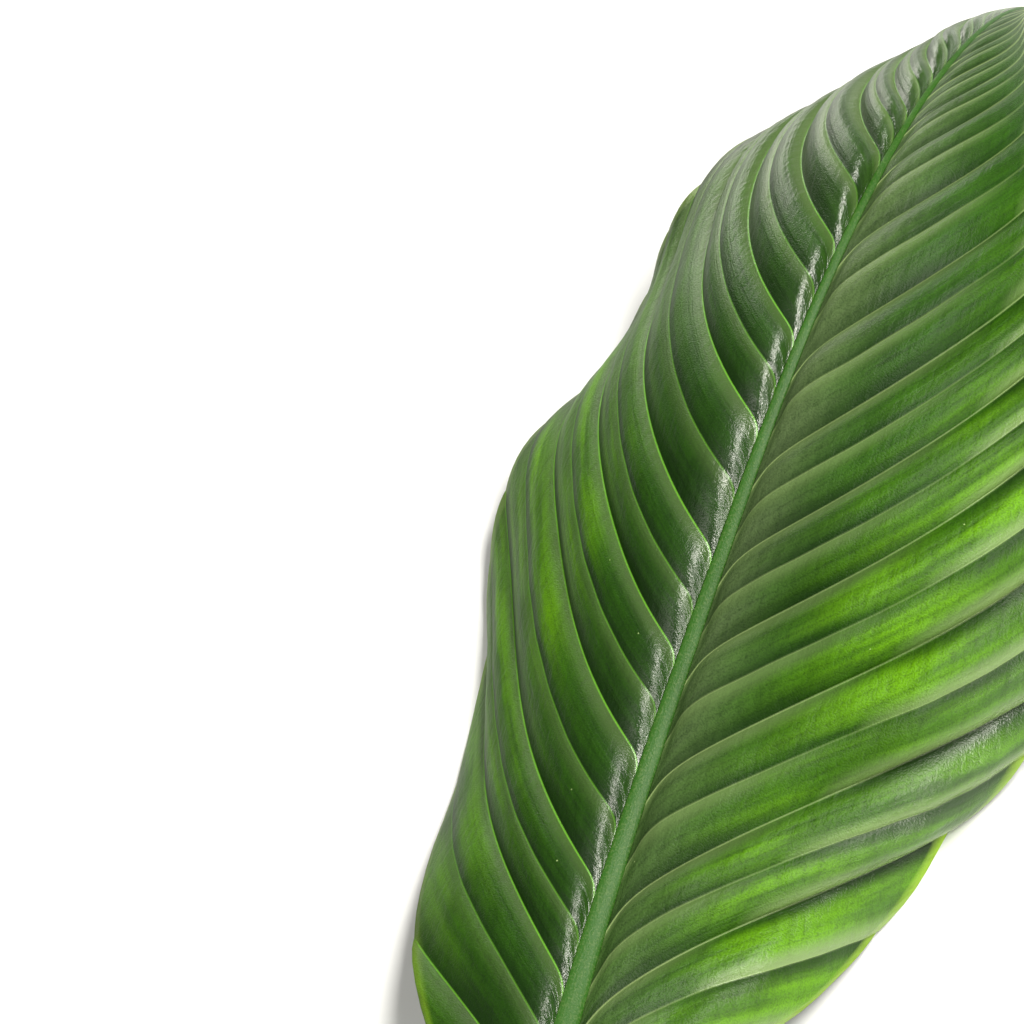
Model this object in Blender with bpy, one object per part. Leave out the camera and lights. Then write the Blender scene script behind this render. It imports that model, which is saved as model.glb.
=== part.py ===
"""Peace lily leaf with a piece of its stalk, picked and laid down with its upper face up.

The leaf grew as one piece, so it is one closed solid. The blade is a sheet that follows its veins:
each row of the sheet runs from the midrib forward to the margin, as a vein does, and the sheet
swells between the main veins. The midrib is thickened below into a keel that runs on as the stalk.
Lengths are in metres, angles in degrees, and +Z is up.
"""

import bpy
import numpy as np

# Blade, measured flat
BLADE_LENGTH = 0.520
BLADE_HALF_WIDTH = 0.1145
BLADE_THICKNESS = 0.0009
WIDEST_SKEW = 0.92
OUTLINE_ROUNDNESS = 1.53
TIP_NARROWING = 0.35
TIP_POINT_LENGTH = 0.006

# Veins
MAIN_VEINS = 15
ROWS_PER_PANEL = 8
FIRST_VEIN_ROW_LEFT = 3
FIRST_VEIN_ROW_RIGHT = 2
COLUMNS = 9
VEIN_ADVANCE = 0.154
VEIN_ADVANCE_SKEW = 1.07
VEIN_ADVANCE_ROUNDNESS = 0.57
VEIN_STRAIGHTNESS = 0.53
VEIN_ADVANCE_FULL = 0.080
VEIN_END_SHARE = 0.80
PANEL_SWELL = 0.10
LESSER_VEIN_FOLD = 0.28
SHOULDER_WIDTH = 0.010

# Midrib and stalk
RIB_HALF_WIDTH_BASE = 0.0042
RIB_HALF_WIDTH_TIP = 0.0006
RIB_TAPER = 1.6
RIB_CROWN = 0.30
RIB_FILLET = 0.004
KEEL_DEPTH_BASE = 0.0055
KEEL_DEPTH_TIP = 0.0008
KEEL_TAPER = 1.2
STALK_LENGTH = 0.140
STALK_RADIUS = 0.0042
STALK_JOINT_SWELL = 0.0008
STALK_JOINT_LENGTH = 0.045
STALK_ROWS = 20
STALK_BEND_LENGTH = 0.070
STALK_END_PITCH = 43

# How the leaf bends: each angle at the base of the blade, at its crest and at the tip, and how
# far along the blade the crest lies
MIDRIB_PITCH = (-20, 25, -40, 0.22)
MIDRIB_YAW = (2, -5, -20, 0.22)
MIDRIB_TWIST = (-2, 3, 0, 0.28)
LEFT_RISE = (18, 20, 17, 0.15)
LEFT_FALL = (-50, -70, -55, 0.22)
RIGHT_RISE = (18, 38, 20, 0.22)
RIGHT_FALL = (-35, -57, -33, 0.16)
CREST_ROUNDNESS = 0.15
LEFT_BEND = 0.32
RIGHT_BEND = 1.12

# Margin waves: height, length along the margin and the place of one crest
LEFT_WAVE = (0.0078, 0.144, 0.230)
RIGHT_WAVE = (-0.0022, 0.123, 0.283)
WAVE_FULL_WIDTH = 0.052

# How the leaf lies on its surface
LAY_PITCH = -3.89
LAY_ROLL = 21.81
LAY_YAW = 5.3
PRESS_FLAT = 0.0007

ROWS = MAIN_VEINS * ROWS_PER_PANEL
RIB_TABLE_STEPS = 560
STALK_TABLE_STEPS = 150
SECTION_STEPS = 10
GREEN = (0.042, 0.150, 0.016, 1.0)


def along(bend, s):
    """Read an angle at stations s, from its base over a rounded crest to the tip."""
    base, crest, tip, crest_station = bend
    s = np.clip(s, 0, BLADE_LENGTH)
    before = from_crest(1 - s / crest_station)
    after = from_crest((s - crest_station) / (BLADE_LENGTH - crest_station))
    return crest + (base - crest) * before + (tip - crest) * after


def from_crest(t):
    """Rise from 0 to 1, rounded at the start and nearly straight after it."""
    t = np.clip(t, 0, 1)
    full = np.hypot(1, CREST_ROUNDNESS) - CREST_ROUNDNESS
    return (np.hypot(t, CREST_ROUNDNESS) - CREST_ROUNDNESS) / full


def ease(t):
    """Rise smoothly from 0 to 1."""
    t = np.clip(t, 0, 1)
    return t * t * (3 - 2 * t)


def lobe(t, skew, roundness):
    """One hump from 0 over 1 back to 0."""
    return np.maximum(np.sin(np.pi * np.clip(t, 0, 1) ** skew), 0) ** roundness


def half_width(s):
    """Width of the flat blade from the edge of the midrib to the margin."""
    t = np.asarray(s) / BLADE_LENGTH
    narrowing = 1 - TIP_NARROWING * ease((t - 0.8) / 0.2)
    return BLADE_HALF_WIDTH * lobe(t, WIDEST_SKEW, OUTLINE_ROUNDNESS) * narrowing


def vein_station(q, v):
    """Station along the midrib that a vein from q has reached at the fraction v of the width.

    Near the base a vein runs straight out, and no vein passes a set share of the way to the tip.
    """
    run = VEIN_ADVANCE * lobe(q / BLADE_LENGTH, VEIN_ADVANCE_SKEW, VEIN_ADVANCE_ROUNDNESS)
    run = run * ease(q / VEIN_ADVANCE_FULL)
    shape = VEIN_STRAIGHTNESS * v + (1 - VEIN_STRAIGHTNESS) * v * v
    ahead = np.maximum(BLADE_LENGTH - q, 1e-9)
    share = run * shape / ahead
    return q + ahead * share / (1 + (share / VEIN_END_SHARE) ** 8) ** 0.125


def rib_half_width(s):
    t = np.clip(np.asarray(s) / BLADE_LENGTH, 0, 1)
    return RIB_HALF_WIDTH_TIP + (RIB_HALF_WIDTH_BASE - RIB_HALF_WIDTH_TIP) * (1 - t)**RIB_TAPER


def keel_depth(s):
    t = np.clip(np.asarray(s) / BLADE_LENGTH, 0, 1)
    return KEEL_DEPTH_TIP + (KEEL_DEPTH_BASE - KEEL_DEPTH_TIP) * (1 - t)**KEEL_TAPER


def rib_frames():
    """Midrib and stalk as stations, points, and the directions across and up at each."""
    blade = np.linspace(0, BLADE_LENGTH, RIB_TABLE_STEPS + 1)
    stalk = np.linspace(-STALK_LENGTH, 0, STALK_TABLE_STEPS, endpoint=False)
    s = np.concatenate([stalk, blade])
    fade = ease(-s / STALK_BEND_LENGTH)
    pitch = np.radians(along(MIDRIB_PITCH, s) * (1 - fade) + STALK_END_PITCH * fade)
    yaw = np.radians(along(MIDRIB_YAW, s))
    twist = np.radians(along(MIDRIB_TWIST, s))[:, None]
    level = np.cos(pitch)
    ahead = np.stack([-np.sin(yaw) * level, np.cos(yaw) * level, np.sin(pitch)], 1)
    steps = (ahead[1:] + ahead[:-1]) / 2 * np.diff(s)[:, None]
    points = np.concatenate([np.zeros((1, 3)), np.cumsum(steps, 0)])
    points = points - points[len(stalk)]
    level_across = np.cross(ahead, (0, 0, 1))
    level_across = level_across / np.linalg.norm(level_across, axis=1)[:, None]
    level_up = np.cross(level_across, ahead)
    across = level_across * np.cos(twist) + level_up * np.sin(twist)
    up = level_up * np.cos(twist) - level_across * np.sin(twist)
    return s, points, across, up


def read_frames(frames, s):
    """Point, across and up of the midrib at stations s."""
    stations = frames[0]
    return [np.stack([np.interp(s, stations, table[:, axis]) for axis in range(3)], -1)
            for table in frames[1:]]


def section(s, v, rise, fall, bend):
    """Cross-section of one half: how far out and how high it is at the fraction v."""
    rise = along(rise, s)
    fall = along(fall, s)
    out = np.zeros_like(s)
    high = np.zeros_like(s)
    for k in range(SECTION_STEPS):
        angle = np.radians(rise + (fall - rise) * (v * (k + 0.5) / SECTION_STEPS) ** bend)
        out += np.cos(angle) * v / SECTION_STEPS
        high += np.sin(angle) * v / SECTION_STEPS
    return out, high, np.radians(fall)


def vein_spacing(sheet):
    """Width of a panel, measured across its veins, at each point of one half."""
    panel_step = np.gradient(sheet, axis=0) * ROWS_PER_PANEL
    vein_step = np.gradient(sheet, axis=1)
    area = np.linalg.norm(np.cross(panel_step, vein_step), axis=2)
    return area / np.maximum(np.linalg.norm(vein_step, axis=2), 1e-9)


def swell(sheet, width, v, phase):
    """Height of the sheet between two main veins, phase running from one to the next.

    A lesser vein runs midway and folds the crest of the panel slightly.
    """
    panel = np.sin(np.pi * phase) ** 0.8 * (1 - LESSER_VEIN_FOLD)
    panel = panel + np.abs(np.sin(2 * np.pi * phase)) * LESSER_VEIN_FOLD
    shoulder = ease(v * width / SHOULDER_WIDTH)
    return PANEL_SWELL * vein_spacing(sheet) * panel * shoulder * (1 - 0.6 * v**4)


def blade_side(frames, side):
    """Stations, upper and lower points of one half, side +1 right and -1 left."""
    row = np.arange(ROWS + 1)
    q = (row * BLADE_LENGTH / ROWS)[:, None]
    v = np.linspace(0, 1, COLUMNS + 1)[None, :] ** 1.1
    s = vein_station(q, v)
    width = half_width(s)
    if side > 0:
        rise, fall, bend, wave = RIGHT_RISE, RIGHT_FALL, RIGHT_BEND, RIGHT_WAVE
    else:
        rise, fall, bend, wave = LEFT_RISE, LEFT_FALL, LEFT_BEND, LEFT_WAVE
    out, high, margin_angle = section(s, v, rise, fall, bend)
    lift = wave[0] * np.cos(2 * np.pi * (s - wave[2]) / wave[1]) * v**3
    lift = lift * np.minimum(1, width / WAVE_FULL_WIDTH)
    out = rib_half_width(s) + width * out - lift * np.sin(margin_angle)
    high = width * high + lift * np.cos(margin_angle)
    point, across, up = read_frames(frames, s)
    sheet = point + side * across * out[..., None] + up * high[..., None]
    first = FIRST_VEIN_ROW_RIGHT if side > 0 else FIRST_VEIN_ROW_LEFT
    phase = ((row - first) % ROWS_PER_PANEL / ROWS_PER_PANEL)[:, None]
    normal = sheet_normals(sheet, up, side, ease(v * width / RIB_FILLET))
    swelling = swell(sheet, width, v, phase)[..., None]
    upper = sheet + normal * (swelling + BLADE_THICKNESS / 2)
    lower = sheet + normal * (swelling - BLADE_THICKNESS / 2)
    return s, upper, lower


def sheet_normals(sheet, up, side, share):
    """Unit normals of the sheet, turning into the midrib's own where share falls to 0."""
    normal = side * np.cross(np.gradient(sheet, axis=1), np.gradient(sheet, axis=0))
    length = np.linalg.norm(normal, axis=2, keepdims=True)
    normal = np.where(length > 1e-9, normal / np.maximum(length, 1e-9), up)
    normal = up + (normal - up) * share[..., None]
    return normal / np.linalg.norm(normal, axis=2, keepdims=True)


def blade_ring(s):
    """Outline of the midrib at station s as out and high, from its left upper edge round."""
    r = rib_half_width(s)
    half = BLADE_THICKNESS / 2
    deep = keel_depth(s)
    low = [(np.cos(a) * r, -half - np.sin(a) * deep) for a in np.radians((20, 55))]
    right = [(r, half), (r, -half)] + low
    left = [(-x, z) for x, z in reversed(right)]
    return [left[-1], (0, half + RIB_CROWN * r)] + right + [(0, -half - deep)] + left[:-1]


def stalk_ring(s):
    """Outline of the round stalk, with the slight swelling that lies just below the blade."""
    swelling = STALK_JOINT_SWELL * lobe(-s / STALK_JOINT_LENGTH, 1, 2)
    radius = STALK_RADIUS + swelling
    centre = -KEEL_DEPTH_BASE / 2
    turns = np.radians(126 - 36 * np.arange(10))
    return [(np.cos(a) * radius, centre + np.sin(a) * radius) for a in turns]


def rib_ring(s):
    """Outline at station s, passing from the midrib's form to the stalk's below the blade."""
    blend = ease(-s / 0.02)
    return np.array(blade_ring(s)) * (1 - blend) + np.array(stalk_ring(s)) * blend


class Solid:
    """Points and faces of the leaf."""

    def __init__(self):
        self.points = []
        self.faces = []

    def add(self, point):
        self.points.append(point)
        return len(self.points) - 1

    def quad(self, a, b, c, d, flip=False):
        """Add a quad as two triangles, leaving out one that has shrunk to a line."""
        for triangle in ((a, b, c), (a, c, d)):
            if len(set(triangle)) == 3:
                self.faces.append(triangle[::-1] if flip else triangle)


def add_core(solid, frames):
    """Add the stalk and the midrib, and return the blade's rings of point numbers."""
    stalk = -STALK_LENGTH * (1 - np.arange(STALK_ROWS) / STALK_ROWS)
    blade = np.arange(ROWS + 1) * BLADE_LENGTH / ROWS
    rings = []
    for s in np.concatenate([stalk, blade]):
        point, across, up = read_frames(frames, s)
        rings.append([solid.add(point + across * x + up * z) for x, z in rib_ring(s)])
    around = len(rings[0])
    for k in range(len(rings) - 1):
        for j in range(around):
            beside_blade = k >= STALK_ROWS and j in (2, around - 1)
            if not beside_blade:
                n = (j + 1) % around
                solid.quad(rings[k][j], rings[k][n], rings[k + 1][n], rings[k + 1][j])
    first = solid.add(np.mean([solid.points[j] for j in rings[0]], 0))
    last = solid.add(np.mean([solid.points[j] for j in rings[-1]], 0))
    for j in range(around):
        n = (j + 1) % around
        solid.faces.append((first, rings[0][n], rings[0][j]))
        solid.faces.append((last, rings[-1][j], rings[-1][n]))
    return rings[STALK_ROWS:]


def add_half(solid, frames, rings, side):
    """Add one half of the blade to the edge of the midrib, its last bit drawn to the tip."""
    s, upper, lower = blade_side(frames, side)
    edge_upper, edge_lower = (2, 3) if side > 0 else (0, -1)
    top = []
    bottom = []
    for i, ring in enumerate(rings):
        top.append([ring[edge_upper]])
        bottom.append([ring[edge_lower]])
        for j in range(1, COLUMNS + 1):
            if i == 0 or s[i, j] > BLADE_LENGTH - TIP_POINT_LENGTH:
                pole = rings[0] if i == 0 else rings[-1]
                top[i].append(pole[edge_upper])
                bottom[i].append(pole[edge_lower])
            else:
                top[i].append(solid.add(upper[i, j]))
                bottom[i].append(solid.add(lower[i, j]))
    left = side < 0
    for i in range(ROWS):
        for j in range(COLUMNS):
            solid.quad(top[i][j], top[i][j + 1], top[i + 1][j + 1], top[i + 1][j], left)
            solid.quad(bottom[i][j], bottom[i][j + 1], bottom[i + 1][j + 1], bottom[i + 1][j],
                       not left)
        solid.quad(top[i][-1], bottom[i][-1], bottom[i + 1][-1], top[i + 1][-1], left)


def turn(angle, axis):
    """Rotation matrix about X, Y or Z."""
    c = np.cos(np.radians(angle))
    s = np.sin(np.radians(angle))
    a, b = [(1, 2), (2, 0), (0, 1)][axis]
    matrix = np.eye(3)
    matrix[a, a] = c
    matrix[b, b] = c
    matrix[a, b] = -s
    matrix[b, a] = s
    return matrix


def lay_down(points):
    """Turn the leaf as it lies, set it on z = 0 and press its low points slightly flat."""
    points = np.array(points) @ (turn(LAY_YAW, 2) @ turn(LAY_ROLL, 1) @ turn(LAY_PITCH, 0)).T
    points[:, 2] -= points[:, 2].min() + PRESS_FLAT
    points[:, 2] = np.maximum(points[:, 2], 0)
    middle = (points.max(0) + points.min(0)) / 2
    points[:, :2] -= middle[:2]
    return points


def leaf_material():
    material = bpy.data.materials.new("glossy_leaf")
    material.use_nodes = True
    shader = material.node_tree.nodes["Principled BSDF"]
    shader.inputs["Base Color"].default_value = GREEN
    shader.inputs["Roughness"].default_value = 0.38
    shader.inputs["Metallic"].default_value = 0.0
    return material


def build_leaf():
    frames = rib_frames()
    solid = Solid()
    rings = add_core(solid, frames)
    add_half(solid, frames, rings, 1)
    add_half(solid, frames, rings, -1)
    mesh = bpy.data.meshes.new("peace_lily_leaf")
    mesh.from_pydata(lay_down(solid.points).tolist(), [], solid.faces)
    mesh.materials.append(leaf_material())
    mesh.shade_smooth()
    leaf = bpy.data.objects.new("peace_lily_leaf", mesh)
    bpy.context.scene.collection.objects.link(leaf)


def main():
    for old in list(bpy.data.objects):
        bpy.data.objects.remove(old)
    build_leaf()


main()
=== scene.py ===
"""Large ribbed peace lily leaf, picked with a piece of its stalk and laid down face up.

The leaf is one grown piece. Both halves of the blade are fine sheets whose rows run along the
veins, pleated and quilted between them, and the midrib runs on as the round stalk.
Lengths are in metres, angles in degrees, and +Z is up.
"""

import math

import bpy
import numpy as np
from bpy.props import FloatProperty, FloatVectorProperty, PointerProperty
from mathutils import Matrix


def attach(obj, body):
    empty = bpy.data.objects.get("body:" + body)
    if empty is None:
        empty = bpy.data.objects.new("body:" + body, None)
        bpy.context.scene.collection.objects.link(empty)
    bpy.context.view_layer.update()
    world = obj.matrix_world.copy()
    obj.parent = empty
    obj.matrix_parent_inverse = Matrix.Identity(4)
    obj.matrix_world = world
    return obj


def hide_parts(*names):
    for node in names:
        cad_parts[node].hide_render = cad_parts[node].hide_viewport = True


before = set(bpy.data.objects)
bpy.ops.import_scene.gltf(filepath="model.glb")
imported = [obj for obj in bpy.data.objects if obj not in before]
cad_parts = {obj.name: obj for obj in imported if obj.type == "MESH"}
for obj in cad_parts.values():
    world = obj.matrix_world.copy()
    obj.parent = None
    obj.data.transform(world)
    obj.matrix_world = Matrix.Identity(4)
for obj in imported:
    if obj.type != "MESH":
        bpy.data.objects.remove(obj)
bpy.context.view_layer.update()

bl_info = {
    "name": "Peace lily leaf",
    "version": (1, 0, 0),
    "blender": (4, 5, 0),
    "location": "View3D > Sidebar > Leaf",
    "description": "A ribbed peace lily leaf on a pale floor, with its lights and camera",
    "category": "Add Mesh",
}

# Blade, measured flat. The thickness is that of the solid's sheet and places the upper face.
BLADE_LENGTH = 0.520
BLADE_HALF_WIDTH = 0.1145
SHEET_THICKNESS = 0.0009
WIDEST_SKEW = 0.92
OUTLINE_ROUNDNESS = 1.53
TIP_NARROWING = 0.35
TIP_NARROWS_FROM = 0.8

# Course of the veins
VEIN_ADVANCE = 0.154
VEIN_ADVANCE_SKEW = 1.07
VEIN_ADVANCE_ROUNDNESS = 0.57
VEIN_STRAIGHTNESS = 0.53
VEIN_ADVANCE_FULL = 0.080
VEIN_END_SHARE = 0.80

# Where the main veins leave the midrib: the first one, a place where they stand widest apart, and
# how far apart such places are
RIGHT_VEINS = (0.016, 0.137, 0.165)
LEFT_VEINS = (0.013, 0.237, 0.095)
VEIN_DISTANCE = 0.0345
VEIN_UNEVENNESS = 0.15
VEIN_CROWDING = 0.32
VEINS_CROWD_FROM = 0.320
VEINS_CROWD_OVER = 0.090
LAST_VEIN = 0.490
END_PANEL = 0.035

# Midrib and stalk
RIB_HALF_WIDTH_BASE = 0.0042
RIB_HALF_WIDTH_TIP = 0.0006
RIB_TAPER = 1.6
RIB_CROWN = 0.30
RIB_FILLET = 0.004
KEEL_DEPTH_BASE = 0.0055
KEEL_DEPTH_TIP = 0.0008
KEEL_TAPER = 1.2
STALK_LENGTH = 0.140
STALK_RADIUS = 0.0042
STALK_JOINT_SWELL = 0.0008
STALK_JOINT_LENGTH = 0.045
STALK_BLEND_LENGTH = 0.02
STALK_BEND_LENGTH = 0.070
STALK_END_PITCH = 43

# How the leaf bends: each angle at the base of the blade, at its crest and at the tip, and how
# far along the blade the crest lies
MIDRIB_PITCH = (-20, 25, -40, 0.22)
MIDRIB_YAW = (2, -5, -20, 0.22)
MIDRIB_TWIST = (-2, 3, 0, 0.28)
LEFT_RISE = (18, 20, 17, 0.15)
LEFT_FALL = (-50, -70, -55, 0.22)
RIGHT_RISE = (18, 38, 20, 0.22)
RIGHT_FALL = (-35, -57, -33, 0.16)
CREST_ROUNDNESS = 0.15
LEFT_BEND = 0.32
RIGHT_BEND = 1.12

# Margin waves: height, length along the margin and the place of one crest
LEFT_WAVE = (0.0078, 0.144, 0.230)
RIGHT_WAVE = (-0.0022, 0.123, 0.283)
WAVE_FULL_WIDTH = 0.052

# How the leaf lies on its surface, and where the base of the blade then is
LAY_PITCH = -3.89
LAY_ROLL = 21.81
LAY_YAW = 5.3
BLADE_BASE = (0.0120, -0.1842, 0.0554)

# Form of the pleats: roundness, a factor on the right half's heights, and how much, from where and
# over what length the left half's heights grow towards the tip
PLEAT_ROUNDNESS = 0.85
RIGHT_RELIEF = 1.3
LEFT_RELIEF_GROWTH = 1.3
LEFT_RELIEF_FROM = 0.28
LEFT_RELIEF_OVER = 0.14

# Uneven heights from one pleat to the next: share, radians for each pleat and radians at pleat 0
HEIGHT_STEPS = ((0.16, 2.4, 1), (0.07, 5.1, 0))

# Uneven height and lean along a pleat: share, radians for each metre from the midrib and radians
# for each pleat. The heights waver fully from a small distance on.
HEIGHT_WAVERS = ((0.18, 105, 1.9), (0.05, 420, 4.3))
LEAN_WAVER = (0.10, 70, 2.7)
WAVERS_FULL_GAP = 0.02

# The hooks of the veins at the midrib fade in from the base and out before the tip
HOOK_FULL = 0.05
HOOK_FADE = 0.1

# Bright strip along the margin, and the polished strip left of the midrib, which narrows from the
# middle of the leaf towards its base
MARGIN_STRIP = 0.0010
MARGIN_FADE = 0.0016
POLISHED_STRIP = 0.0075
POLISHED_NARROWING = 0.0030
POLISHED_WIDENS_FROM = 0.12
POLISHED_WIDENS_OVER = 0.12

# Rows of one panel between two main veins and how far they crowd at the veins, and columns from
# the midrib to the margin and how evenly they stand
PANEL_ROWS = 22
ROW_CROWDING = 0.72
COLUMNS = 48
COLUMN_EVENNESS = 0.15
AROUND_RIB = 28
RIB_ROWS = 470
RIB_TABLE_STEPS = 560
STALK_TABLE_STEPS = 150
SECTION_STEPS = 24
SHEET_UNDER_RIB = 0.93
MERGE_DISTANCE = 0.00002

# Masks on the points that the upper face's material reads. Of these, glow is painted light shining
# through the blade, dull and ridges are painted grey sheen, and shade is painted shade
MASKS = ("spacing", "margin", "inner", "sheen", "line", "pale_line", "ridges", "painted_glow", "dull",
         "shade")


def linear(hex_colour):
    """Turn an sRGB hex colour into the linear values that Blender works in."""
    parts = [int(hex_colour[k:k + 2], 16) / 255 for k in (1, 3, 5)]
    return tuple(p / 12.92 if p <= 0.04045 else ((p + 0.055) / 1.055) ** 2.4 for p in parts)


def along(bend, s):
    """Read an angle at stations s, from its base over a rounded crest to the tip."""
    base, crest, tip, crest_station = bend
    s = np.clip(s, 0, BLADE_LENGTH)
    before = from_crest(1 - s / crest_station)
    after = from_crest((s - crest_station) / (BLADE_LENGTH - crest_station))
    return crest + (base - crest) * before + (tip - crest) * after


def from_crest(t):
    """Rise from 0 to 1, rounded at the start and nearly straight after it."""
    t = np.clip(t, 0, 1)
    full = np.hypot(1, CREST_ROUNDNESS) - CREST_ROUNDNESS
    return (np.hypot(t, CREST_ROUNDNESS) - CREST_ROUNDNESS) / full


def ease(t):
    """Rise smoothly from 0 to 1."""
    t = np.clip(t, 0, 1)
    return t * t * (3 - 2 * t)


def lobe(t, skew, roundness):
    """One hump from 0 over 1 back to 0."""
    return np.maximum(np.sin(np.pi * np.clip(t, 0, 1) ** skew), 0) ** roundness


def half_width(s):
    """Width of the flat blade from the edge of the midrib to the margin."""
    t = np.asarray(s) / BLADE_LENGTH
    narrowing = 1 - TIP_NARROWING * ease((t - TIP_NARROWS_FROM) / (1 - TIP_NARROWS_FROM))
    return BLADE_HALF_WIDTH * lobe(t, WIDEST_SKEW, OUTLINE_ROUNDNESS) * narrowing


def vein_station(q, v):
    """Station along the midrib that a vein from q has reached at the fraction v of the width."""
    run = VEIN_ADVANCE * lobe(q / BLADE_LENGTH, VEIN_ADVANCE_SKEW, VEIN_ADVANCE_ROUNDNESS)
    run = run * ease(q / VEIN_ADVANCE_FULL)
    shape = VEIN_STRAIGHTNESS * v + (1 - VEIN_STRAIGHTNESS) * v * v
    ahead = np.maximum(BLADE_LENGTH - q, 1e-9)
    share = run * shape / ahead
    # A smooth limit keeps every vein short of the tip
    return q + ahead * share / (1 + (share / VEIN_END_SHARE) ** 8) ** 0.125


def rib_half_width(s):
    """Half the width of the midrib."""
    t = np.clip(np.asarray(s) / BLADE_LENGTH, 0, 1)
    return RIB_HALF_WIDTH_TIP + (RIB_HALF_WIDTH_BASE - RIB_HALF_WIDTH_TIP) * (1 - t)**RIB_TAPER


def keel_depth(s):
    """How far the midrib stands out below the sheet."""
    t = np.clip(np.asarray(s) / BLADE_LENGTH, 0, 1)
    return KEEL_DEPTH_TIP + (KEEL_DEPTH_BASE - KEEL_DEPTH_TIP) * (1 - t)**KEEL_TAPER


def rib_frames():
    """Midrib and stalk as stations, points, and the directions across and up at each."""
    blade = np.linspace(0, BLADE_LENGTH, RIB_TABLE_STEPS + 1)
    stalk = np.linspace(-STALK_LENGTH, 0, STALK_TABLE_STEPS, endpoint=False)
    s = np.concatenate([stalk, blade])
    fade = ease(-s / STALK_BEND_LENGTH)
    pitch = np.radians(along(MIDRIB_PITCH, s) * (1 - fade) + STALK_END_PITCH * fade)
    yaw = np.radians(along(MIDRIB_YAW, s))
    twist = np.radians(along(MIDRIB_TWIST, s))[:, None]
    level = np.cos(pitch)
    ahead = np.stack([-np.sin(yaw) * level, np.cos(yaw) * level, np.sin(pitch)], 1)
    steps = (ahead[1:] + ahead[:-1]) / 2 * np.diff(s)[:, None]
    points = np.concatenate([np.zeros((1, 3)), np.cumsum(steps, 0)])
    points = points - points[len(stalk)]
    level_across = np.cross(ahead, (0, 0, 1))
    level_across = level_across / np.linalg.norm(level_across, axis=1)[:, None]
    level_up = np.cross(level_across, ahead)
    across = level_across * np.cos(twist) + level_up * np.sin(twist)
    up = level_up * np.cos(twist) - level_across * np.sin(twist)
    return s, points, across, up


def read_frames(frames, s):
    """Point, across and up of the midrib at stations s."""
    stations = frames[0]
    return [np.stack([np.interp(s, stations, table[:, axis]) for axis in range(3)], -1)
            for table in frames[1:]]


def section(s, v, rise, fall, bend):
    """Cross-section of one half: how far out and how high it is at the fraction v."""
    rise = along(rise, s)
    fall = along(fall, s)
    out = np.zeros_like(s)
    high = np.zeros_like(s)
    for k in range(SECTION_STEPS):
        angle = np.radians(rise + (fall - rise) * (v * (k + 0.5) / SECTION_STEPS) ** bend)
        out += np.cos(angle) * v / SECTION_STEPS
        high += np.sin(angle) * v / SECTION_STEPS
    return out, high, np.radians(fall)


def turn(angle, axis):
    """Rotation matrix about X, Y or Z."""
    c = np.cos(np.radians(angle))
    s = np.sin(np.radians(angle))
    a, b = [(1, 2), (2, 0), (0, 1)][axis]
    matrix = np.eye(3)
    matrix[a, a] = c
    matrix[b, b] = c
    matrix[a, b] = -s
    matrix[b, a] = s
    return matrix


def lay_down(points, lowest=0.0):
    """Turn the leaf as it lies on the floor, with its lowest points pressed slightly flat."""
    laid = np.array(points) @ (turn(LAY_YAW, 2) @ turn(LAY_ROLL, 1) @ turn(LAY_PITCH, 0)).T
    laid = laid + BLADE_BASE
    laid[..., 2] = np.maximum(laid[..., 2], lowest)
    return laid


def vein_stops(first, widest, apart):
    """Stations of the main veins, a little uneven and crowding towards the tip."""
    stops = [first]
    while stops[-1] < LAST_VEIN:
        middle = stops[-1] + VEIN_DISTANCE / 2
        crowded = VEIN_CROWDING * ease((middle - VEINS_CROWD_FROM) / VEINS_CROWD_OVER)
        uneven = VEIN_UNEVENNESS * np.cos(2 * np.pi * (middle - widest) / apart)
        stops.append(stops[-1] + VEIN_DISTANCE * (1 - crowded) * (1 + uneven))
    return stops


def panel_rows(veins):
    """Row stations and panel numbers, rows crowding at the main veins and midway between."""
    stops = vein_stops(*veins)
    stops = np.array([stops[0] - END_PANEL, *stops, stops[-1] + END_PANEL])
    t = np.arange((len(stops) - 1) * PANEL_ROWS + 1) / PANEL_ROWS
    panel = t - ROW_CROWDING * np.sin(4 * np.pi * t) / (4 * np.pi)
    q = np.interp(panel, np.arange(len(stops)), stops)
    inside = (q > 0) & (q < BLADE_LENGTH)
    q = np.concatenate([[0], q[inside], [BLADE_LENGTH]])
    panel = np.interp(q, stops, np.arange(len(stops)))
    return q[:, None], panel[:, None]


def sheet_normals(sheet, up, side, share):
    """Unit normals of the sheet, turning into the midrib's own where share falls to 0."""
    normal = side * np.cross(np.gradient(sheet, axis=1), np.gradient(sheet, axis=0))
    length = np.linalg.norm(normal, axis=2, keepdims=True)
    normal = np.where(length > 1e-10, normal / np.maximum(length, 1e-10), up)
    normal = up + (normal - up) * share[..., None]
    return normal / np.linalg.norm(normal, axis=2, keepdims=True)


def row_spacing(sheet, panel):
    """Width of a panel, measured across its veins, at each point of one half."""
    panel_step = np.gradient(sheet, axis=0) / np.gradient(panel, axis=0)[..., None]
    vein_step = np.gradient(sheet, axis=1)
    area = np.linalg.norm(np.cross(panel_step, vein_step), axis=2)
    return area / np.maximum(np.linalg.norm(vein_step, axis=2), 1e-9)


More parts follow.
